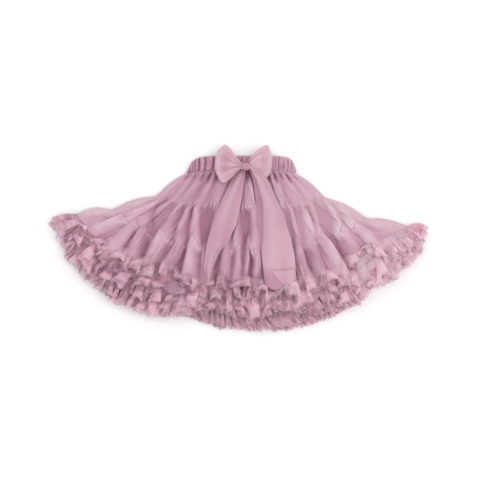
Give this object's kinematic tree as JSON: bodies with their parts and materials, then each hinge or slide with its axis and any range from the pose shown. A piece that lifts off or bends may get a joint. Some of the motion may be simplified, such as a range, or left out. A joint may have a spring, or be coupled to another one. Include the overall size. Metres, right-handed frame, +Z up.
{
  "type": "tulle skirt",
  "caption": "Child's tiered tulle skirt with a gathered elastic waistband, frilled hem on both layers and a sash bow with long tails, laid flat.",
  "frame": {"origin": "middle of the footprint, on the flat surface that the skirt lies on", "axes": "+X across the skirt towards the right of the picture, +Y from the hem towards the waist, +Z up, away from the surface and out of the skirt's front"},
  "size_m": [0.6762, 0.335, 0.0449],
  "materials": {
    "waistband": "dusty pink gathered casing over elastic, matt",
    "tulle": "dusty pink fine tulle, matt with a soft sheen",
    "frill": "dusty pink tulle frills with a raw fluffy edge",
    "sash": "dusty pink soft sash cloth, matt with a soft sheen"
  },
  "bodies": {
    "root": {"waistband_front": "waistband", "waistband_back": "waistband", "yoke_front": "tulle", "yoke_back": "tulle", "middle_tier_front": "tulle", "middle_tier_back": "tulle", "lower_tier_front": "tulle", "lower_tier_back": "tulle", "hem_frill_front": "frill", "hem_frill_back": "frill", "bow_knot": "sash", "bow_loop_left": "sash", "bow_loop_right": "sash", "bow_tail_left": "sash", "bow_tail_right": "sash"}
  },
  "joints": []
}
